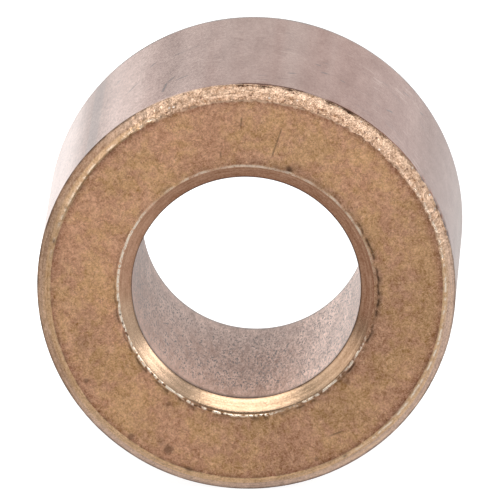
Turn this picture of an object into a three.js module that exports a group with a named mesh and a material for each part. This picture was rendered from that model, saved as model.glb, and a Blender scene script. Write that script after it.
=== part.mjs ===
// Plain sintered-bronze sleeve bushing, in millimetres.
// The bushing lies on its side with +Z up and its bore along Y. The origin is the middle of the
// bore at mid-length. The bore is chamfered alike at both ends. Outside, the front end (-Y) has a
// wide chamfer and the back end only a broken edge.

import * as THREE from 'three';

// Driving dimensions
const OUTSIDE_DIAMETER = 22;
const BORE_DIAMETER = 12;
const LENGTH = 15;

// How far each chamfer cuts into the end face, and how far it runs along the wall
const FRONT_CHAMFER = { face: 0.65, wall: 0.6 };
const BACK_CHAMFER = { face: 0.15, wall: 0.15 };
const BORE_CHAMFER = { face: 0.7, wall: 0.5 };

// Flats that stand for the round walls. The middle of each flat touches the true cylinder,
// so both diameters are right across flats.
const SIDES = 64;
const HALF_FLAT_ANGLE = Math.PI / SIDES;
const CORNER_OVER_FLAT = 1 / Math.cos(HALF_FLAT_ANGLE);

const bronze = new THREE.MeshStandardMaterial({
  name: 'bronze',
  color: 0xab8462,
  roughness: 0.5,
  metalness: 0.85,
});

// The four corners of one end's section, from the bore wall to the outside wall
function endOutline(towards, outerChamfer) {
  const outerRadius = OUTSIDE_DIAMETER / 2;
  const boreRadius = BORE_DIAMETER / 2;
  const end = LENGTH / 2;
  const corners = [
    [boreRadius, end - BORE_CHAMFER.wall],
    [boreRadius + BORE_CHAMFER.face, end],
    [outerRadius - outerChamfer.face, end],
    [outerRadius, end - outerChamfer.wall],
  ];
  return corners.map(([radius, y]) => new THREE.Vector2(radius * CORNER_OVER_FLAT, towards * y));
}

// The whole section, turned once about Y. It ends on the corner it starts on, so it is closed.
// The turn starts half a flat round, which puts a flat and not a corner at the very bottom.
function sleeveGeometry() {
  const front = endOutline(-1, FRONT_CHAMFER);
  const back = endOutline(1, BACK_CHAMFER).reverse();
  const section = [...front, ...back, front[0].clone()];
  return new THREE.LatheGeometry(section, SIDES, HALF_FLAT_ANGLE, 2 * Math.PI);
}

const sleeve = new THREE.Mesh(sleeveGeometry(), bronze);
sleeve.name = 'bronze_sleeve';

const bushing = new THREE.Group();
bushing.add(sleeve);

export default bushing;
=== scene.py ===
"""Bronze sleeve bushing: a detailed sleeve in place of the CAD one, its five finishes and a studio."""

import math

import bpy
import numpy as np
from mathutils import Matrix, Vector, noise


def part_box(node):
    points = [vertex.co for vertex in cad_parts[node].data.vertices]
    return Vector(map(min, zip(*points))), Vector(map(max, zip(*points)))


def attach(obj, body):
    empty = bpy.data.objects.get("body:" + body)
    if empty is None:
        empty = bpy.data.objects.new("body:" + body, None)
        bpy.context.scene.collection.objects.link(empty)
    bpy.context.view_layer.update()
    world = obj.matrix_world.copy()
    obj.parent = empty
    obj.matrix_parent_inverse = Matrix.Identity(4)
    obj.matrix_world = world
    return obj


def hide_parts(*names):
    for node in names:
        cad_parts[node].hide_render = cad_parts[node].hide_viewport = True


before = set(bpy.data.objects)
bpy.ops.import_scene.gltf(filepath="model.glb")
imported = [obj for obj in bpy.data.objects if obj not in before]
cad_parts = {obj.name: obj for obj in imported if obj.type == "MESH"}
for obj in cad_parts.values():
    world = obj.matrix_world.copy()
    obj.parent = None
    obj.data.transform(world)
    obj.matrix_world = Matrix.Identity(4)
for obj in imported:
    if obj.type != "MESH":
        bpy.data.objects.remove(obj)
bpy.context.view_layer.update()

# ---------------------------------------------------------------- sizes, in metres
MM = 0.001
NODE = "bronze_sleeve"
node_low, node_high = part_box(NODE)
OUTER_RADIUS = (node_high.z - node_low.z) / 2
HALF_LENGTH = (node_high.y - node_low.y) / 2
# The bore's diameter is 12 mm where the outside is 22 mm
BORE_RADIUS = OUTER_RADIUS * 12 / 22
# The two ends, as the sign of their y
FRONT, BACK = -1, 1
# How far each chamfer cuts into the end face, and how far it runs along the wall
OUTER_CHAMFER = {FRONT: (0.65 * MM, 0.60 * MM), BACK: (0.16 * MM, 0.15 * MM)}
BORE_CHAMFER = (0.70 * MM, 0.50 * MM)
# The end faces lie this much below the full length, which the burrs on them reach
FACE_SINK = 0.06 * MM
# Room inside the full diameter for the outer wall's slight unevenness
WALL_SINK = 0.006 * MM
# How far each side of a corner its rounding reaches. The outer two are shares of the chamfer.
BORE_EDGE_CUT = 0.04 * MM
BORE_RIM_CUT = 0.03 * MM
OUTER_RIM_CUT_SHARE = 0.14
OUTER_EDGE_CUT_SHARE = 0.06
# The strip of end face beside the bore's rim, which holds the burr and needs a finer mesh
LIP = 0.32 * MM

# Steps of the mesh: round the sleeve, and along its two walls
STEPS_ROUND = 860
OUTER_WALL_STEPS = 14
BORE_WALL_STEPS = 10

# The seeds of each end's uneven edges
END_SEEDS = {FRONT: 11, BACK: 47}
# How far each end's arcs of wear are turned round the sleeve, in degrees
WEAR_TURN = {FRONT: 0, BACK: 150}
# The middle of each end's torn arc, in degrees
TORN_MIDDLE = {FRONT: 68, BACK: 230}


# ---------------------------------------------------------------- shapes round the sleeve
def angles():
    """Angles round the sleeve in radians, from +X towards +Z."""
    return np.arange(STEPS_ROUND) * 2 * math.pi / STEPS_ROUND


def wave(seed, least, most, fall=0.5):
    """An uneven line round the sleeve, about -1 to 1, made of whole waves only."""
    rng = np.random.default_rng(seed)
    phi = angles()
    total = np.zeros(STEPS_ROUND)
    for count in range(least, most):
        total += np.cos(count * phi + rng.uniform(0, 2 * math.pi)) * count ** -fall
    return total / (2 * total.std())


def smooth(t):
    """0 up to 0 and 1 from 1 on, with an even curve between."""
    t = np.clip(t, 0, 1)
    return t * t * (3 - 2 * t)


def turned(centre):
    """Degrees from this angle, -180 to 180, round the sleeve."""
    return (np.degrees(angles()) - centre + 180) % 360 - 180


def arc(centre, half, soft):
    """1 within half degrees of centre, falling to 0 over the next soft degrees."""
    return smooth((half + soft - np.abs(turned(centre))) / soft)


def hump(distance, width):
    """1 at no distance, falling to about 0 at twice the width."""
    return np.exp(-((distance / width) ** 2))


def leaning(distance, rise, fall):
    """A ridge that starts at no distance, rises over one length and falls over another."""
    return smooth(distance / rise) * smooth((rise + fall - distance) / fall)


def crowded(steps, ends):
    """Shares from 0 to 1, closer together near both ends as ends goes from 0 to 1."""
    t = np.linspace(0, 1, steps + 1)
    return t + (0.5 - 0.5 * np.cos(math.pi * t) - t) * ends


def lumps(points, size, seed):
    """Noise about -1 to 1 at each point, with lumps of this size."""
    elsewhere = np.array([17.3, 5.1, 9.7]) * seed
    flat = points.reshape(-1, 3) / size + elsewhere
    return np.array([noise.noise(Vector(p)) for p in flat]).reshape(points.shape[:-1])


# ---------------------------------------------------------------- the sleeve's section
# A place on the section is an array of two rows, radius and y, with a column for every angle.
def place(radius, y):
    """The same place at every angle, or an uneven one if radius or y is a line round the sleeve."""
    return np.stack([radius * np.ones(STEPS_ROUND), y * np.ones(STEPS_ROUND)])


def towards(start, finish, length):
    """The place this far from start on the way to finish."""
    way = finish - start
    return start + way / np.hypot(*way) * length


def straight(zone, start, finish, steps, ends=0.0):
    """Stations from start up to, but not at, finish. A station is a zone's name and a place."""
    return [(zone, start + (finish - start) * t) for t in crowded(steps, ends)[:-1]]


def rounded(zone, before, corner, after, cut, steps):
    """Stations round a corner, which start and end this far from it."""
    start, finish = towards(corner, before, cut), towards(corner, after, cut)
    shares = np.linspace(0, 1, steps + 1)[:-1]
    return [(zone, (1 - t) ** 2 * start + 2 * t * (1 - t) * corner + t * t * finish) for t in shares]


def end_corners(side):
    """One end's four corners from the bore out, each an uneven line round the sleeve."""
    seed = END_SEEDS[side]
    end = side * (HALF_LENGTH - FACE_SINK)
    on_face, on_wall = OUTER_CHAMFER[side]
    bore_cut = 1 + 0.03 * wave(seed, 2, 8) - 0.09 * arc(130, 70, 50)
    outer_cut = 1 + 0.05 * wave(seed + 1, 2, 16) - 0.13 * arc(0, 18, 30)
    ragged = 0.07 * on_face * wave(seed + 2, 16, 200, 0.4) * torn_arc(side)
    bore_edge = place(BORE_RADIUS, side * (HALF_LENGTH - BORE_CHAMFER[1] * bore_cut))
    bore_rim = place(BORE_RADIUS + BORE_CHAMFER[0] * bore_cut, end)
    outer_rim = place(OUTER_RADIUS - on_face * outer_cut + ragged, end)
    outer_edge = place(OUTER_RADIUS - WALL_SINK, side * (HALF_LENGTH - on_wall * outer_cut))
    return bore_edge, bore_rim, outer_rim, outer_edge


def torn_arc(side):
    """How torn the outer rim is: 1 along one wide arc of each end, and 0.12 elsewhere."""
    return 0.12 + 0.88 * arc(TORN_MIDDLE[side], 48, 22)


def end_stations(side, corners, detail):
    """One end's stations from the bore wall out to the outer wall. detail scales their number."""
    bore_edge, bore_rim, outer_rim, outer_edge = corners
    # Each wall at mid-length, which is where its edge's rounding leads
    at_mid_length = np.array([[1], [0]])
    bore_wall, outer_wall = bore_edge * at_mid_length, outer_edge * at_mid_length
    lip = towards(bore_rim, outer_rim, LIP)
    rim_cut = OUTER_RIM_CUT_SHARE * OUTER_CHAMFER[side][0]
    edge_cut = OUTER_EDGE_CUT_SHARE * OUTER_CHAMFER[side][0]
    few, some, more, many = 3, round(7 * detail), round(10 * detail), round(11 * detail)
    return (
        rounded("bore_chamfer", bore_wall, bore_edge, bore_rim, BORE_EDGE_CUT, few)
        + straight("bore_chamfer", towards(bore_edge, bore_rim, BORE_EDGE_CUT),
                   towards(bore_rim, bore_edge, BORE_RIM_CUT), some)
        + rounded("bore_chamfer", bore_edge, bore_rim, outer_rim, BORE_RIM_CUT, few)
        + straight("end_face", towards(bore_rim, outer_rim, BORE_RIM_CUT), lip, more)
        + straight("end_face", lip, towards(outer_rim, bore_rim, rim_cut), many, 0.5)
        + rounded("outer_chamfer", bore_rim, outer_rim, outer_edge, rim_cut, some)
        + straight("outer_chamfer", towards(outer_rim, outer_edge, rim_cut),
                   towards(outer_edge, outer_rim, edge_cut), some)
        + rounded("outer_chamfer", outer_rim, outer_edge, outer_wall, edge_cut, few)
        + [("outer_wall", towards(outer_edge, outer_wall, edge_cut))]
    )


def section(front_corners, back_corners):
    """The closed section: front end outwards, outer wall, back end inwards, bore wall."""
    front = end_stations(FRONT, front_corners, detail=1.0)
    back = end_stations(BACK, back_corners, detail=0.7)[::-1]
    # A strip of faces takes its zone from the station it starts at, so turn the zones round too
    zones = [zone for zone, _ in back[1:]] + ["bore_wall"]
    back = [(zone, spot) for zone, (_, spot) in zip(zones, back)]
    outside = straight("outer_wall", front[-1][1], back[0][1], OUTER_WALL_STEPS, 0.9)[1:]
    inside = straight("bore_wall", back[-1][1], front[0][1], BORE_WALL_STEPS, 0.9)[1:]
    return front + outside + back + inside


# ---------------------------------------------------------------- wear on the surface, with painted shadow beside the burr
# Dents: end, angle in degrees, radius, length round, width across and depth, in millimetres
DENTS = [
    (FRONT, 85.5, 10.96, 0.30, 0.09, 0.08),
    (FRONT, 78, 10.97, 0.14, 0.07, 0.04),
    (FRONT, 66, 10.97, 0.34, 0.07, 0.04),
    (FRONT, 61, 10.97, 0.26, 0.07, 0.04),
    (FRONT, 166, 10.45, 0.14, 0.12, 0.05),
    (FRONT, 253, 10.30, 0.18, 0.14, 0.05),
    (FRONT, 71, 6.85, 0.18, 0.12, 0.05),
    (FRONT, 24, 10.95, 0.18, 0.12, 0.04),
    (FRONT, 40, 10.40, 0.16, 0.10, 0.04),
    (FRONT, 300, 10.45, 0.14, 0.10, 0.03),
    (BACK, 322, 10.93, 0.32, 0.12, 0.08),
    (BACK, 215, 10.94, 0.26, 0.12, 0.06),
    (BACK, 130, 6.80, 0.20, 0.12, 0.04),
    (BACK, 305, 10.40, 0.18, 0.14, 0.05),
]


class Wear:
    """What wear does at every point: its depth into the metal, and how fresh or grimy it leaves it. The
    grime also carries painted shadow beside the burr.
    """

    def __init__(self, points, radius):
        self.radius = radius
        self.y = points[..., 1]
        self.depth = np.zeros(radius.shape)
        self.fresh = np.zeros(radius.shape)
        self.grime = np.zeros(radius.shape)
        self.tiny = lumps(points, 0.17 * MM, 4)
        self.fine = lumps(points, 0.26 * MM, 1)
        self.mid = lumps(points, 0.6 * MM, 2)

    def end_gap(self, side):
        """How far each point lies in from one end, along the bore."""
        return HALF_LENGTH - self.y * side

    def spot(self, side, angle, radius, along, across):
        """1 at a place on one end, falling off over these lengths along the rim and across it."""
        radius = radius * MM
        on_face, on_wall = OUTER_CHAMFER[side]
        gap = max(0, radius - OUTER_RADIUS + on_face) * on_wall / on_face
        aside = np.hypot(self.radius - radius, self.end_gap(side) - gap)
        round_rim = np.radians(turned(angle))[:, None] * radius
        return hump(aside, across * MM) * hump(round_rim, along * MM)

    def add(self, where, depth=0.0, fresh=0.0, grime=0.0):
        """Adds wear, each kind scaled by where. Depth is in millimetres."""
        self.depth += where * depth * MM
        self.fresh += where * fresh
        self.grime += where * grime


def wear_of(points, radius, corners):
    """All the sleeve's wear: both outer chamfers, both bore rims and the dents."""
    wear = Wear(points, radius)
    for side in (FRONT, BACK):
        _, bore_rim, outer_rim, _ = (corner[0][:, None] for corner in corners[side])
        wear_outer_chamfer(wear, side, outer_rim)
        wear_bore_rim(wear, side, bore_rim)
    for side, angle, from_axis, along, across, depth in DENTS:
        wear.add(wear.spot(side, angle, from_axis, along, across), depth=depth, grime=0.85)
    return wear


def wear_outer_chamfer(wear, side, rim):
    """Torn lumps, dark chips along the wall's edge, and a pale ragged line along the inner rim."""
    turn = WEAR_TURN[side]
    on_face, on_wall = OUTER_CHAMFER[side]
    # Dents are shallower on a smaller chamfer
    size = on_face / OUTER_CHAMFER[FRONT][0]
    torn = torn_arc(side)[:, None]
    gap = wear.end_gap(side)
    on_end = gap < 1.0 * MM
    past_rim = wear.radius - rim
    # Torn lumps over the chamfer and its inner rim
    chamfer = smooth((past_rim + 0.14 * MM) / (0.2 * MM)) * (gap < on_wall * 1.02)
    wear.add(chamfer * torn * np.maximum(0, 0.4 + wear.fine), depth=0.065 * size)
    wear.add(chamfer * torn * np.maximum(0, 0.3 + wear.mid), depth=0.045 * size, grime=0.12)
    # Small chips and a dark line where the chamfer meets the wall
    edge = hump(wear.radius - OUTER_RADIUS, 0.08 * MM) * hump(gap - on_wall, 0.12 * MM)
    wear.add(edge * torn * np.maximum(0, wear.mid - 0.28), depth=0.06 * size, grime=0.7)
    dark_arcs = np.maximum(arc(250 + turn, 125, 15), 0.6 * arc(42 + turn, 32, 12))
    edge_line = (0.1 + 0.9 * dark_arcs)[:, None]
    wear.add(edge * edge_line * smooth(0.85 + 0.7 * wear.mid), grime=0.95)
    # The chamfer's inner rim: a pale ragged line at the left and a stronger one on the right
    line = hump(past_rim - (0.04 + 0.04 * wear.fine) * MM, 0.05 * MM) * on_end
    pale = (0.7 * arc(142 + turn, 22, 12) + 1.2 * arc(348 + turn, 36, 20))[:, None]
    wear.add(line * pale * smooth(0.45 + 1.3 * wear.mid + 2.0 * wear.fine), fresh=0.8)
    beside = hump(past_rim + 0.11 * MM, 0.07 * MM) * on_end
    wear.add(beside * smooth(0.5 + 1.2 * wear.fine + 0.5 * wear.mid), grime=0.45)


def wear_bore_rim(wear, side, rim):
    """The burr that stands over the face round the bore's rim, with painted shadow between its beads and
    in a gap along the bottom, and the dark groove beside it.
    """
    turn = WEAR_TURN[side]
    gap = wear.end_gap(side)
    on_face = gap < FACE_SINK * 1.01
    past_rim = wear.radius - rim
    # The burr is nearly whole on one side, beaded along the bottom and thin over the top
    whole = (0.95 * arc(174 + turn, 18, 22))[:, None]
    beaded = np.maximum(arc(235 + turn, 43, 12), 0.7 * arc(314 + turn, 16, 14))[:, None]
    thin = (0.36 * arc(90 + turn, 60, 30))[:, None]
    crowd = (0.3 * arc(218 + turn, 16, 10))[:, None]
    bead = smooth(0.65 + crowd + 3.6 * wear.tiny)
    broken = smooth(0.85 + 1.3 * wear.mid + 1.5 * wear.tiny)
    pale = np.maximum(np.maximum(whole * broken, beaded * bead), thin * smooth(0.7 + wear.mid))
    # The ridge itself is more even than its colour, which is pale on beads and dark between them, where
    # shadow is painted
    height = np.maximum(pale, beaded * (0.75 + 0.25 * bead))
    # Along the bottom the burr stands off the rim, with painted shade in the gap between
    stand_off = arc(264 + turn, 14, 14)[:, None]
    ridge_start = (-0.02 + 0.09 * stand_off + 0.04 * wear.mid) * MM
    ridge = leaning(past_rim - ridge_start, 0.12 * MM, 0.07 * MM) * on_face
    wear.depth -= (FACE_SINK - 0.003 * MM) * np.minimum(1, ridge * height)
    wear.add(smooth(1.6 * ridge) * pale, fresh=1.6)
    # Painted shadow between the beads
    wear.add(ridge * beaded * smooth(-0.2 - 3.6 * wear.tiny), grime=0.9)
    # Painted shade in the gap between the rim and the burr along the bottom
    wear.add(hump(past_rim - 0.045 * MM, 0.045 * MM) * on_face * stand_off, grime=0.65)
    dark_arcs = np.maximum(arc(345 + turn, 35, 20), 0.6 * arc(250 + turn, 55, 25))
    dark = (0.3 + 0.7 * dark_arcs)[:, None]
    groove_middle = (0.23 + 0.10 * stand_off + 0.09 * wear.mid) * MM
    groove = hump(past_rim - groove_middle, 0.065 * MM) * on_face
    wear.add(groove * dark * smooth(0.5 + 1.4 * wear.mid + 0.8 * wear.fine), depth=0.03, grime=1.0)
    bore_edge = hump(wear.radius - BORE_RADIUS, 0.06 * MM) * hump(gap - BORE_CHAMFER[1], 0.10 * MM)
    wear.add(bore_edge, depth=0.01, grime=0.85)


def outward_normals(radius, y):
    """Unit normals of the section at every point, out of the metal, as their radial and y parts."""
    dr = np.roll(radius, -1, axis=1) - np.roll(radius, 1, axis=1)
    dy = np.roll(y, -1, axis=1) - np.roll(y, 1, axis=1)
    size = np.hypot(dr, dy)
    return dy / size, -dr / size


def swept(radius, y):
    """Points in space from radius and y, one row for every angle."""
    phi = angles()[:, None]
    return np.stack([radius * np.cos(phi), y, radius * np.sin(phi)], axis=2)


def build_sleeve():
    """The worn sleeve, with how fresh and how grimy each point is stored for its finishes. The grime also
    carries painted shadow.
    """
    corners = {side: end_corners(side) for side in (FRONT, BACK)}
    stations = section(corners[FRONT], corners[BACK])
    radius, y = np.stack([spot for _, spot in stations], axis=2)
    wear = wear_of(swept(radius, y), radius, corners)
    radial, axial = outward_normals(radius, y)
    points = swept(radius - radial * wear.depth, y - axial * wear.depth)
    mesh = ring_mesh(points, [zone for zone, _ in stations])
    for name, values in (("fresh", wear.fresh), ("grime", wear.grime)):
        layer = mesh.attributes.new(name, "FLOAT", "POINT")
        layer.data.foreach_set("value", np.clip(values, 0, 1).astype(np.float32).ravel())
    sleeve = bpy.data.objects.new("sleeve", mesh)
    bpy.context.scene.collection.objects.link(sleeve)
    return sleeve


def ring_mesh(points, zones):
    """Quads over the grid of points, which closes on itself both ways."""
    count = len(zones)
    i, j = np.arange(STEPS_ROUND)[:, None], np.arange(count)[None, :]
    i_next, j_next = (i + 1) % STEPS_ROUND * count, (j + 1) % count
    corners = [i * count + j, i_next + j, i_next + j_next, i * count + j_next]
    quads = np.stack(corners, axis=2).reshape(-1, 4)
    mesh = bpy.data.meshes.new("sleeve")
    mesh.from_pydata(points.reshape(-1, 3).tolist(), [], quads.tolist())
    names = list(FINISHES)
    for name in names:
        mesh.materials.append(FINISHES[name]())
    index = np.tile([names.index(zone) for zone in zones], STEPS_ROUND)
    mesh.polygons.foreach_set("material_index", index.astype(np.int32))
    mesh.polygons.foreach_set("use_smooth", np.ones(len(quads), bool))
    mesh.update()
    return mesh


# ---------------------------------------------------------------- finishes
def rgb(red, green, blue):
    """An opaque colour, in linear values."""
    return (red, green, blue, 1.0)


WHITE = rgb(1, 1, 1)
# Dark brown for grime, and for painted shadow beside the burr
GRIME_AND_SHADE = rgb(0.10, 0.055, 0.035)
FRESH = rgb(1.0, 0.86, 0.70)
# A Mix node has a set of sockets for each kind of data, and these are its colour ones
MIX_A, MIX_B, MIX_RESULT = 6, 7, 2


class Finish:
    """One Principled material, and short calls that add and link its nodes.

    Lengths are in millimetres. y runs along the bore, radius is the distance from its axis, and
    outward points away from the axis.
    """

    def __init__(self, name, roughness):
        self.material = bpy.data.materials.new(name)
        self.material.use_nodes = True
        self.nodes = self.material.node_tree.nodes
        self.links = self.material.node_tree.links
        self.shader = self.nodes["Principled BSDF"]
        self.shader.inputs["Metallic"].default_value = 1.0
        self.shader.inputs["Roughness"].default_value = roughness
        place = self.nodes.new("ShaderNodeTexCoord")
        self.mm = self.vector("SCALE", place.outputs["Object"], scale=1 / MM)
        split = self.nodes.new("ShaderNodeSeparateXYZ")
        self.links.new(self.mm, split.inputs[0])
        self.x, self.y, self.z = split.outputs
        flat = self.nodes.new("ShaderNodeCombineXYZ")
        self.links.new(self.x, flat.inputs["X"])
        self.links.new(self.z, flat.inputs["Z"])
        self.radius = self.vector("LENGTH", flat.outputs[0])
        self.outward = self.vector("NORMALIZE", flat.outputs[0])

    def put(self, value, socket):
        """Links an output to a socket, or sets the socket to a plain value."""
        if isinstance(value, bpy.types.NodeSocket):
            self.links.new(value, socket)
        else:
            socket.default_value = value

    def vector(self, operation, a, b=None, scale=None):
        """The output of a Vector Math node."""
        node = self.nodes.new("ShaderNodeVectorMath")
        node.operation = operation
        self.put(a, node.inputs[0])
        if b is not None:
            self.put(b, node.inputs[1])
        if scale is not None:
            self.put(scale, node.inputs["Scale"])
        return node.outputs["Value" if operation in ("LENGTH", "DOT_PRODUCT") else "Vector"]

    def math(self, operation, a, b=0.0):
        """The output of a Math node."""
        node = self.nodes.new("ShaderNodeMath")
        node.operation = operation
        self.put(a, node.inputs[0])
        self.put(b, node.inputs[1])
        return node.outputs[0]

    def times(self, *values):
        """The product of outputs and plain numbers."""
        product = values[0]
        for value in values[1:]:
            product = self.math("MULTIPLY", product, value)
        return product

    def about(self, value, amount):
        """Turns a value round 0.5 into a factor round 1, which swings by amount."""
        return self.math("ADD", self.times(value, amount), 1 - amount / 2)

    def ramp(self, value, low, high):
        """0 below low and 1 above high, smooth between. Low may be the larger one."""
        node = self.nodes.new("ShaderNodeMapRange")
        node.interpolation_type = "SMOOTHSTEP"
        self.put(value, node.inputs["Value"])
        self.put(low, node.inputs["From Min"])
        self.put(high, node.inputs["From Max"])
        return node.outputs["Result"]

    def noise(self, size, detail=2.0, seed=0.0, place=None, rough=0.5, warp=0.0):
        """Noise from 0 to 1 with lumps of about this size."""
        node = self.nodes.new("ShaderNodeTexNoise")
        node.noise_dimensions = "4D"
        self.put(self.mm if place is None else place, node.inputs["Vector"])
        node.inputs["W"].default_value = seed
        node.inputs["Scale"].default_value = 1 / size
        node.inputs["Detail"].default_value = detail
        node.inputs["Roughness"].default_value = rough
        node.inputs["Distortion"].default_value = warp
        return node.outputs["Fac"]

    def cells(self, size, seed=0.0):
        """Round grains: distance from each grain's middle, and a random number for each grain."""
        node = self.nodes.new("ShaderNodeTexVoronoi")
        node.voronoi_dimensions = "4D"
        self.put(self.mm, node.inputs["Vector"])
        node.inputs["W"].default_value = seed
        node.inputs["Scale"].default_value = 1 / size
        split = self.nodes.new("ShaderNodeSeparateColor")
        self.links.new(node.outputs["Color"], split.inputs[0])
        return node.outputs["Distance"], split.outputs[0]

    def worms(self, size, seed=0.0, width=0.04, warp=1.2):
        """Short wandering lines, 1 along their middles: where a noise passes through its middle value."""
        middle = self.math("SUBTRACT", self.noise(size, 1, seed=seed, warp=warp), 0.5)
        broken = self.ramp(self.noise(size * 1.3, 1, seed=seed + 0.5), 0.45, 0.58)
        return self.times(self.ramp(self.math("ABSOLUTE", middle), width, 0), broken)

    def dots(self, size, share, seed=0.0, small=0.2, large=0.42):
        """1 in small round dots and 0 between them. share is how many of the cells hold one."""
        distance, chance = self.cells(size, seed)
        return self.times(self.ramp(distance, large, small), self.math("LESS_THAN", chance, share))

    def lines_round(self, across, size, turns=0.35):
        """A place to read noise at, for lines that run round the sleeve."""
        node = self.nodes.new("ShaderNodeCombineXYZ")
        self.put(self.times(across, 1 / size), node.inputs["Y"])
        return self.vector("ADD", self.vector("SCALE", self.outward, scale=turns), node.outputs[0])

    def streaks_along(self, size, length):
        """A place to read noise at, for streaks along the bore. Their width is true on the outer wall."""
        node = self.nodes.new("ShaderNodeCombineXYZ")
        self.put(self.times(self.y, 1 / length), node.inputs["Y"])
        wall_radius = 11
        round_wall = self.vector("SCALE", self.outward, scale=wall_radius / size)
        return self.vector("ADD", round_wall, node.outputs[0])

    def facing(self, angle, low, high):
        """1 on the side of the sleeve that faces this angle, and 0 away from it."""
        a = math.radians(angle)
        lean = self.vector("DOT_PRODUCT", self.outward, (math.cos(a), 0, math.sin(a)))
        return self.ramp(lean, low, high)

    def wear(self, name):
        """How fresh or grimy build_sleeve left the surface."""
        node = self.nodes.new("ShaderNodeAttribute")
        node.attribute_name = name
        return node.outputs["Fac"]

    def mix(self, share, a, b):
        """Colour a at share 0, and b at share 1."""
        node = self.nodes.new("ShaderNodeMix")
        node.data_type = "RGBA"
        self.put(share, node.inputs["Factor"])
        self.put(a, node.inputs[MIX_A])
        self.put(b, node.inputs[MIX_B])
        return node.outputs[MIX_RESULT]

    def shade(self, colour, *factors):
        """colour with its brightness multiplied by the factors."""
        return self.vector("SCALE", colour, scale=self.times(*factors))

    def speckle(self, colour, tint, *layers):
        """Lightens and darkens a colour along a tint. Each layer is a noise round 0.5 and its swing."""
        for value, swing in layers:
            node = self.nodes.new("ShaderNodeVectorMath")
            node.operation = "MULTIPLY_ADD"
            self.put(tint, node.inputs[0])
            self.put(self.times(self.math("SUBTRACT", value, 0.5), swing), node.inputs[1])
            self.put(colour, node.inputs[2])
            colour = node.outputs[0]
        return colour

    def scratch(self, start, finish, width):
        """1 along the line from one point to another, in millimetres, fading out to this width."""
        way = Vector(finish) - Vector(start)
        length, way = way.length, way.normalized()
        from_start = self.vector("SUBTRACT", self.mm, start)
        along = self.vector("DOT_PRODUCT", from_start, way)
        across = self.vector("LENGTH", self.vector("CROSS_PRODUCT", from_start, way))
        fade = min(0.3, length / 3)
        ends = self.times(self.ramp(along, 0, fade), self.ramp(along, length, length - fade))
        return self.times(self.ramp(across, width, 0), ends)

    def stain(self, centre, size):
        """1 at a point, in millimetres, fading out unevenly to 0 this far from it."""
        away = self.vector("LENGTH", self.vector("SUBTRACT", self.mm, centre))
        return self.ramp(self.times(away, self.about(self.noise(0.25, 2, seed=17), 1.2)), size, size * 0.3)

    def finish(self, colour, height, depth):
        """Adds the wear, with its grime and painted shadow, to a colour, and links colour, roughness and
        bump to the shader.
        """
        patchy = self.noise(0.12, 1.0, seed=31.0)
        bare = self.times(self.wear("fresh"), self.ramp(patchy, 0.25, 0.5))
        dirt_and_shade = self.times(self.wear("grime"), self.about(patchy, 0.8))
        colour = self.mix(bare, colour, FRESH)
        colour = self.mix(dirt_and_shade, colour, GRIME_AND_SHADE)
        self.put(colour, self.shader.inputs["Base Color"])
        roughness = self.shader.inputs["Roughness"].default_value
        roughness = self.math("SUBTRACT", roughness, self.times(bare, 0.3))
        self.put(self.math("MAXIMUM", roughness, 0.2), self.shader.inputs["Roughness"])
        node = self.nodes.new("ShaderNodeBump")
        node.inputs["Strength"].default_value = 1.0
        node.inputs["Distance"].default_value = depth * MM
        self.put(height, node.inputs["Height"])
        self.links.new(node.outputs["Normal"], self.shader.inputs["Normal"])
        return self.material


# The front face's y, in millimetres
FACE_Y = -(HALF_LENGTH - FACE_SINK) / MM
# Scratches on the front face, from one (x, z) to another, in millimetres
FACE_SCRATCHES = [
    ((1.90, 8.85), (1.32, 7.11)),
    ((-0.20, 9.45), (-0.30, 8.69)),
    ((-1.35, 7.55), (-1.30, 7.06)),
    ((5.20, -7.60), (4.30, -7.95)),
]
# Stains: end, angle, radius and size in millimetres, and darkness
STAINS = [
    (FRONT, 245, 9.65, 0.36, 0.9),
    (FRONT, 242, 9.45, 0.34, 0.4),
    (FRONT, 233, 10.02, 0.22, 0.7),
    (FRONT, 237, 7.45, 0.18, 0.6),
    (FRONT, 211, 9.78, 0.20, 0.8),
    (FRONT, 71, 6.93, 0.24, 0.9),
    (FRONT, 68, 7.15, 0.45, 0.35),
    (FRONT, 292, 9.90, 0.16, 0.7),
    (FRONT, 317, 7.25, 0.26, 0.6),
    (FRONT, 199, 9.10, 0.60, 0.25),
    (BACK, 20, 9.2, 0.42, 0.8),
    (BACK, 160, 8.3, 0.26, 0.6),
    (BACK, 275, 9.9, 0.34, 0.7),
]
# Scratches on the outer wall, from one (angle, y) to another, in degrees and millimetres
WALL_SCRATCHES = [
    ((114.0, -5.2), (113.0, -3.3)),
    ((113.0, -3.4), (110.5, -2.6)),
    ((110.8, -3.6), (106.0, -3.3)),
    ((79.4, -3.8), (76.6, -3.4)),
    ((70.5, -1.8), (67.5, -1.5)),
    ((64.5, -1.7), (62.5, -1.7)),
    ((72.0, -0.5), (70.0, -0.4)),
    ((44.8, 4.6), (41.0, 5.1)),
    ((49.5, -1.8), (46.5, -1.0)),
    ((37.0, 4.4), (35.0, 4.9)),
    ((126.0, -1.0), (122.5, 0.0)),
    ((119.5, 1.8), (117.5, 2.4)),
    ((131.0, 3.2), (129.5, 3.6)),
    ((240.0, -2.0), (236.0, 1.5)),
    ((331.0, 3.0), (327.0, 4.5)),
]


def at(angle, radius, y):
    """The point at this angle and radius, with the angle in degrees."""
    a = math.radians(angle)
    return (math.cos(a) * radius, y, math.sin(a) * radius)


def on_wall(angle, y):
    return at(angle, OUTER_RADIUS / MM, y)


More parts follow.
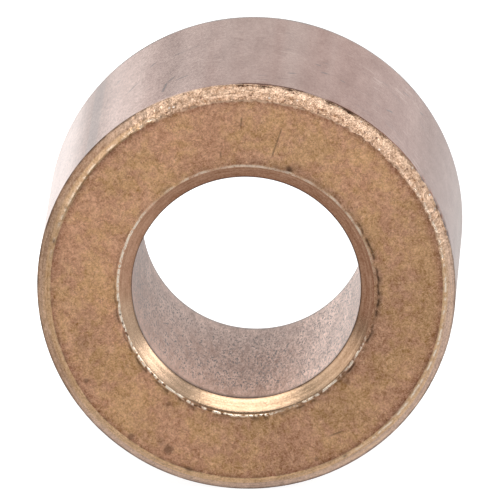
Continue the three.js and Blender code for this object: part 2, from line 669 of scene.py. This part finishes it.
def end_face():
    """Pressed powder: golden and pinkish brown patches under a fine pale and dark grain."""
    f = Finish("bronze_end_face", roughness=0.55)
    patches = f.math("ADD", f.times(f.noise(2.0, 3, seed=1), 0.6), f.times(f.noise(0.5, 2, seed=2), 0.4))
    patches = f.ramp(patches, 0.42, 0.58)
    pinkish, golden = rgb(0.57, 0.32, 0.20), rgb(0.60, 0.36, 0.19)
    base = f.mix(patches, pinkish, golden)
    # Painted light: lighter towards the upper left and darker towards the lower right. The broad noise is
    # uneven tone.
    upper_left = f.ramp(f.vector("DOT_PRODUCT", f.outward, (-0.707, 0, 0.707)), -0.8, 0.1)
    base = f.shade(base, f.about(upper_left, 0.18), f.about(f.noise(3, 1, seed=12), 0.45))
    # Darker towards the outer rim all round, and towards the bore on the right
    rim = f.times(f.ramp(f.radius, 9.8, 10.3), f.about(f.noise(0.5, 3, seed=4), 0.9), 0.65)
    base = f.mix(rim, base, rgb(0.38, 0.18, 0.115))
    inner = f.times(f.ramp(f.radius, 7.4, 6.8), f.facing(10, -0.6, 0.6), 0.5)
    base = f.mix(inner, base, rgb(0.36, 0.20, 0.13))
    # The grain: fine, mottled and blotchy, with short pale and dark lines
    fine = f.noise(0.085, 1, seed=5, rough=0.7, warp=0.4)
    mottle = f.noise(0.22, 2, seed=3, rough=0.65, warp=0.9)
    blotches = f.noise(0.7, 2, seed=6, warp=0.5)
    base = f.speckle(base, (1.0, 0.71, 0.52), (fine, 0.60), (mottle, 0.60), (blotches, 0.26))
    base = f.mix(f.times(f.worms(0.27, seed=21), 0.48), base, rgb(0.88, 0.575, 0.37))
    base = f.mix(f.times(f.worms(0.30, seed=23), 0.50), base, rgb(0.27, 0.13, 0.065))
    # Bright torn flecks just inside the rim over the top
    torn = f.times(f.ramp(f.radius, 10.08, 10.34), f.facing(88, 0.72, 0.94))
    torn = f.ramp(f.math("ADD", f.times(torn, 0.42), f.noise(0.24, 2, seed=9, rough=0.6)), 0.64, 0.82)
    base = f.mix(f.times(torn, 0.65), base, rgb(0.84, 0.60, 0.42))
    # Bright specks, which are painted glints, and dark pores, and then the scratches and stains
    specks = f.dots(0.30, 0.12, seed=8, small=0.1, large=0.26)
    base = f.mix(f.times(specks, 0.5), base, rgb(0.95, 0.65, 0.42))
    pores = f.dots(0.28, 0.12, seed=7, small=0.05, large=0.30)
    base = f.mix(f.times(pores, 0.45), base, rgb(0.22, 0.10, 0.045))
    for (x, z), (x_end, z_end) in FACE_SCRATCHES:
        mark = f.scratch((x, FACE_Y, z), (x_end, FACE_Y, z_end), 0.07)
        base = f.mix(f.times(mark, f.ramp(fine, 0.25, 0.5), 0.7), base, rgb(0.16, 0.11, 0.06))
    for side, angle, radius, size, dark in STAINS:
        mark = f.stain(at(angle, radius, -side * FACE_Y), size)
        base = f.mix(f.times(mark, dark, 0.75), base, rgb(0.16, 0.08, 0.05))
    return f.finish(base, f.math("ADD", f.times(fine, 0.5), mottle), 0.025)


def outer_chamfer():
    """Torn and sparkling on its upper right, and elsewhere streaked round the rim."""
    f = Finish("bronze_outer_chamfer", roughness=0.36)
    torn = f.facing(66, 0.42, 0.72)
    streaks = f.noise(1.0, 3, seed=5, place=f.lines_round(f.radius, 0.16, turns=2.0), rough=0.6)
    inside = f.ramp(f.radius, 10.80, 10.40)
    rim_mix = f.ramp(f.math("ADD", streaks, f.times(inside, 0.3)), 0.5, 0.8)
    # Colours for the bottom and right, for the left, and for the torn arc above
    below = f.mix(rim_mix, rgb(0.72, 0.51, 0.40), rgb(0.72, 0.47, 0.27))
    left = f.mix(rim_mix, rgb(0.54, 0.345, 0.232), rgb(0.64, 0.40, 0.225))
    base = f.mix(f.facing(170, 0.50, 0.85), below, left)
    above = f.mix(f.noise(0.5, 3, seed=1), rgb(0.62, 0.39, 0.26), rgb(0.90, 0.65, 0.47))
    above = f.mix(f.ramp(f.radius, 10.75, 10.40), above, rgb(0.62, 0.40, 0.27))
    base = f.mix(torn, base, above)
    fine = f.noise(0.10, 1, seed=4, rough=0.7, warp=0.5)
    mottle = f.noise(0.28, 2, seed=7, warp=0.5)
    fine_swing = f.math("ADD", f.times(torn, 0.5), 0.60)
    mottle_swing = f.math("ADD", f.times(torn, 0.3), 0.35)
    tint = (1.0, 0.80, 0.64)
    base = f.speckle(base, tint, (fine, fine_swing), (mottle, mottle_swing), (streaks, 0.8))
    scuffs = f.times(f.worms(0.24, seed=21), 0.45)
    base = f.mix(scuffs, base, rgb(0.20, 0.11, 0.07))
    pits = f.times(f.dots(0.22, 0.30, seed=3), torn, 0.75)
    base = f.mix(pits, base, rgb(0.18, 0.09, 0.06))
    glints = f.times(f.dots(0.24, 0.32, seed=13, small=0.1, large=0.36), torn, 0.85)
    base = f.mix(glints, base, rgb(1.0, 0.92, 0.84))
    height = f.math("ADD", f.times(f.noise(0.20, 3, seed=2, rough=0.65), torn), f.times(streaks, 0.12))
    return f.finish(base, height, 0.13)


def bore_chamfer():
    """Turned, with fine lines round it. Brown, with paler colour painted as highlights along the bottom,
    lower left and lower right, and as light on the left.
    """
    f = Finish("bronze_bore_chamfer", roughness=0.24)
    lines = f.noise(1.0, 2, seed=1, place=f.lines_round(f.radius, 0.09))
    base = f.mix(lines, rgb(0.36, 0.18, 0.115), rgb(0.43, 0.245, 0.15))
    # Paler on the left side: painted light
    left = f.times(f.facing(180, 0.5, 0.95), 0.7)
    base = f.mix(left, base, rgb(0.58, 0.34, 0.225))
    # Paler along the bottom, at the lower left and at the lower right: painted highlights
    bottom = f.facing(252, 0.15, 0.75)
    base = f.mix(bottom, base, rgb(0.51, 0.345, 0.225))
    lower_left = f.times(f.facing(216, 0.82, 0.98), 0.8)
    base = f.mix(lower_left, base, rgb(0.72, 0.50, 0.345))
    lower_right = f.times(f.facing(318, 0.85, 0.98), 0.6)
    base = f.mix(lower_right, base, rgb(0.62, 0.42, 0.27))
    fine = f.noise(0.10, 1, seed=2, rough=0.7)
    broad = f.noise(0.5, 2, seed=5, place=f.lines_round(f.radius, 0.3, turns=4.0))
    base = f.speckle(base, (1.0, 0.74, 0.56), (lines, 0.30), (fine, 0.32), (broad, 0.30))
    height = f.math("ADD", f.times(lines, 0.7), f.times(f.noise(0.14, 2, seed=3), 0.6))
    return f.finish(base, height, 0.006)


def outer_wall():
    """Burnished by the sizing die: pink and grey streaks along it, dashes and scratches round it."""
    f = Finish("bronze_outer_wall", roughness=0.20)
    streaks = f.noise(1.0, 3, seed=1, place=f.streaks_along(1.6, 30))
    pinker = f.math("SUBTRACT", f.times(f.facing(42, 0.78, 0.98), 0.75), 0.1)
    grey_share = f.ramp(f.math("SUBTRACT", streaks, f.times(pinker, 0.5)), 0.20, 0.75)
    pink, grey = rgb(0.35, 0.16, 0.11), rgb(0.465, 0.293, 0.237)
    base = f.mix(grey_share, pink, grey)
    tint = (1.0, 0.81, 0.73)
    fine = f.noise(1.0, 1, seed=7, place=f.streaks_along(0.12, 0.30), rough=0.7)
    broad = f.noise(1.0, 5, seed=4, place=f.streaks_along(1.0, 3.0), rough=0.65)
    fine_swing = f.math("ADD", f.times(f.facing(145, 0.5, 0.9), 0.3), 0.28)
    base = f.speckle(base, tint, (fine, fine_swing), (broad, 0.42))
    # Short pale and dark dashes round the wall, in patches over the top
    dashes = f.noise(1.0, 2, seed=2, place=f.lines_round(f.y, 0.40, turns=9.0))
    patchy = f.times(f.ramp(f.noise(3.0, 1, seed=14), 0.40, 0.60), f.facing(66, 0.35, 0.75))
    base = f.mix(f.times(f.ramp(dashes, 0.58, 0.70), patchy, 0.45), base, rgb(0.70, 0.50, 0.42))
    base = f.mix(f.times(f.ramp(dashes, 0.39, 0.29), patchy, 0.5), base, rgb(0.10, 0.05, 0.04))
    # One narrow grey band along the wall, at the upper left
    band = f.times(f.facing(138, 0.9988, 0.9998), 0.35)
    base = f.mix(band, base, rgb(0.26, 0.22, 0.22))
    for start, finish in WALL_SCRATCHES:
        mark = f.scratch(on_wall(*start), on_wall(*finish), 0.13)
        base = f.mix(f.times(mark, 0.85), base, rgb(0.06, 0.03, 0.025))
    height = f.math("ADD", f.noise(0.5, 2, seed=5), f.times(dashes, 0.5))
    return f.finish(base, height, 0.003)


def bore_wall():
    """Satin, with fine dark pores, fewer near both rims except on the right."""
    f = Finish("bronze_bore_wall", roughness=0.32)
    # Three colours from the front end to the back, and a paler one on the right, which is painted light
    base = f.mix(f.ramp(f.y, -6.5, -1.0), rgb(0.53, 0.29, 0.195), rgb(0.42, 0.235, 0.165))
    base = f.mix(f.ramp(f.y, 0.0, 5.0), base, rgb(0.44, 0.28, 0.22))
    right = f.facing(325, 0.75, 0.97)
    base = f.mix(f.times(right, 0.55), base, rgb(0.66, 0.46, 0.38))
    fine = f.noise(1.0, 1, seed=7, place=f.streaks_along(0.11, 0.24), rough=0.7)
    broad = f.noise(1.0, 3, seed=4, place=f.streaks_along(0.9, 2.4))
    mid = f.noise(1.0, 2, seed=8, place=f.streaks_along(0.30, 0.70), warp=0.6)
    grainy = f.facing(325, -0.2, 0.9)
    fine_swing = f.math("ADD", f.times(grainy, 0.45), 0.45)
    mid_swing = f.math("ADD", f.times(grainy, 0.35), 0.40)
    base = f.speckle(base, (1.0, 0.77, 0.67), (fine, fine_swing), (mid, mid_swing), (broad, 0.6))
    pores = f.ramp(f.noise(1.0, 1, seed=2, place=f.streaks_along(0.16, 0.34), warp=0.6), 0.48, 0.36)
    dense = f.times(f.ramp(broad, 0.30, 0.52), f.ramp(f.math("ABSOLUTE", f.y), 7.0, 4.5))
    dense = f.math("MAXIMUM", dense, f.times(right, 0.9))
    base = f.mix(f.times(pores, dense, 0.95), base, rgb(0.055, 0.024, 0.014))
    return f.finish(base, f.noise(0.14, 3, seed=5), 0.010)


FINISHES = {
    "bore_wall": bore_wall,
    "bore_chamfer": bore_chamfer,
    "end_face": end_face,
    "outer_chamfer": outer_chamfer,
    "outer_wall": outer_wall,
}


# ---------------------------------------------------------------- studio
# Where the camera stands and what it aims at, in degrees and metres
CAMERA_AIM = Vector((-0.044, 0, 0.168)) * MM
CAMERA_AZIMUTH, CAMERA_ELEVATION = 1.965, 14.95
CAMERA_DISTANCE = 1.0996
CAMERA_LENS = 1500
# Soft lamps: azimuth and elevation in degrees, width and height in metres, and radiance
LAMPS = {
    "overhead_front": (-7, 56, 0.28, 0.13, 3.4),
    "overhead_top": (0, 82, 0.30, 0.12, 0.7),
    "left_front": (-62, 24, 0.18, 0.18, 1.0),
    "right_front": (59, 23, 0.11, 0.09, 3.0),
    "right_side": (84, 34, 0.14, 0.10, 2.1),
    "left_back": (220, 19, 0.29, 0.20, 1.15),
    "right_back": (151, 14, 0.5, 0.22, 0.47),
}
LAMP_DISTANCE = 0.3
FLOOR_HALF = 1.5
# The floor's glow as the metal sees it: everywhere, and more behind the sleeve on each side.
# The camera sees it brighter again.
FLOOR_GLOW, FLOOR_GLOW_LEFT, FLOOR_GLOW_RIGHT = 0.37, 0.68, 0.11
FLOOR_SEEN = 0.55
# The surroundings' brightness as the metal sees it on the left and right, and to the camera
SKY_LEFT, SKY_RIGHT, SKY_SEEN = 0.28, 0.52, 1.1


def direction(azimuth, elevation):
    """Out from the bushing: azimuth 0 is -Y, where the camera stands, and 90 is +X."""
    a, e = math.radians(azimuth), math.radians(elevation)
    return Vector((math.sin(a) * math.cos(e), -math.cos(a) * math.cos(e), math.sin(e)))


def aim_from(thing, aim, azimuth, elevation, distance):
    """Puts a camera or lamp this way and this far from a point, looking at it."""
    toward = direction(azimuth, elevation)
    thing.location = aim + toward * distance
    thing.rotation_mode = "QUATERNION"
    thing.rotation_quaternion = (-toward).to_track_quat("-Z", "Y")
    bpy.context.scene.collection.objects.link(thing)


def camera():
    """A long lens from far off, so that the near and far rims are almost the same size."""
    data = bpy.data.cameras.new("camera")
    data.sensor_width = 36
    data.lens = CAMERA_LENS
    data.clip_start, data.clip_end = 0.1, 10
    cam = bpy.data.objects.new("camera", data)
    aim_from(cam, CAMERA_AIM, CAMERA_AZIMUTH, CAMERA_ELEVATION, CAMERA_DISTANCE)
    bpy.context.scene.camera = cam


def softbox(name, azimuth, elevation, width, height, radiance):
    """A soft lamp that shows in the metal but not to the camera."""
    data = bpy.data.lights.new(name, "AREA")
    data.shape = "RECTANGLE"
    data.size, data.size_y = width, height
    data.energy = radiance * math.pi * width * height
    lamp = bpy.data.objects.new(name, data)
    lamp.visible_camera = False
    aim_from(lamp, Vector(), azimuth, elevation, LAMP_DISTANCE)


def floor():
    """Pale, and white to the camera. The metal sees it brightest behind the sleeve on the left."""
    half = FLOOR_HALF
    z = node_low.z
    corners = [(-half, -half, z), (half, -half, z), (half, half, z), (-half, half, z)]
    mesh = bpy.data.meshes.new("floor")
    mesh.from_pydata(corners, [], [(0, 1, 2, 3)])
    f = Finish("floor", roughness=0.9)
    f.shader.inputs["Metallic"].default_value = 0.0
    f.shader.inputs["Base Color"].default_value = rgb(0.35, 0.35, 0.35)
    f.shader.inputs["Emission Color"].default_value = WHITE
    path = f.nodes.new("ShaderNodeLightPath")
    behind = f.times(f.ramp(f.y, 8, 40), f.ramp(f.y, 200, 110))
    left = f.times(f.ramp(f.x, -2, -16), FLOOR_GLOW_LEFT)
    right = f.times(f.ramp(f.x, 12, 22), FLOOR_GLOW_RIGHT)
    glow = f.math("ADD", f.times(behind, f.math("ADD", left, right)), FLOOR_GLOW)
    glow = f.math("ADD", glow, f.times(path.outputs["Is Camera Ray"], FLOOR_SEEN))
    f.put(glow, f.shader.inputs["Emission Strength"])
    mesh.materials.append(f.material)
    plane = bpy.data.objects.new("floor", mesh)
    bpy.context.scene.collection.objects.link(plane)


def surroundings():
    """White to the camera. The metal sees it darker on the left than on the right."""
    world = bpy.data.worlds.new("studio")
    bpy.context.scene.world = world
    world.use_nodes = True
    nodes, links = world.node_tree.nodes, world.node_tree.links
    place = nodes.new("ShaderNodeTexCoord")
    split = nodes.new("ShaderNodeSeparateXYZ")
    links.new(place.outputs["Generated"], split.inputs[0])
    side = nodes.new("ShaderNodeMapRange")
    side.interpolation_type = "SMOOTHSTEP"
    links.new(split.outputs[0], side.inputs["Value"])
    side.inputs["From Min"].default_value = -0.7
    side.inputs["From Max"].default_value = 0.7
    side.inputs["To Min"].default_value = SKY_LEFT
    side.inputs["To Max"].default_value = SKY_RIGHT
    back = nodes["Background"]
    back.inputs["Color"].default_value = WHITE
    links.new(side.outputs["Result"], back.inputs["Strength"])
    seen = nodes.new("ShaderNodeBackground")
    seen.inputs["Color"].default_value = WHITE
    seen.inputs["Strength"].default_value = SKY_SEEN
    path = nodes.new("ShaderNodeLightPath")
    mix = nodes.new("ShaderNodeMixShader")
    links.new(path.outputs["Is Camera Ray"], mix.inputs[0])
    links.new(back.outputs[0], mix.inputs[1])
    links.new(seen.outputs[0], mix.inputs[2])
    links.new(mix.outputs[0], nodes["World Output"].inputs["Surface"])


def studio():
    camera()
    floor()
    surroundings()
    for name, values in LAMPS.items():
        softbox(name, *values)
    bpy.context.scene.view_settings.view_transform = "Standard"


sleeve = build_sleeve()
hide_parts(NODE)
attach(sleeve, "root")
studio()
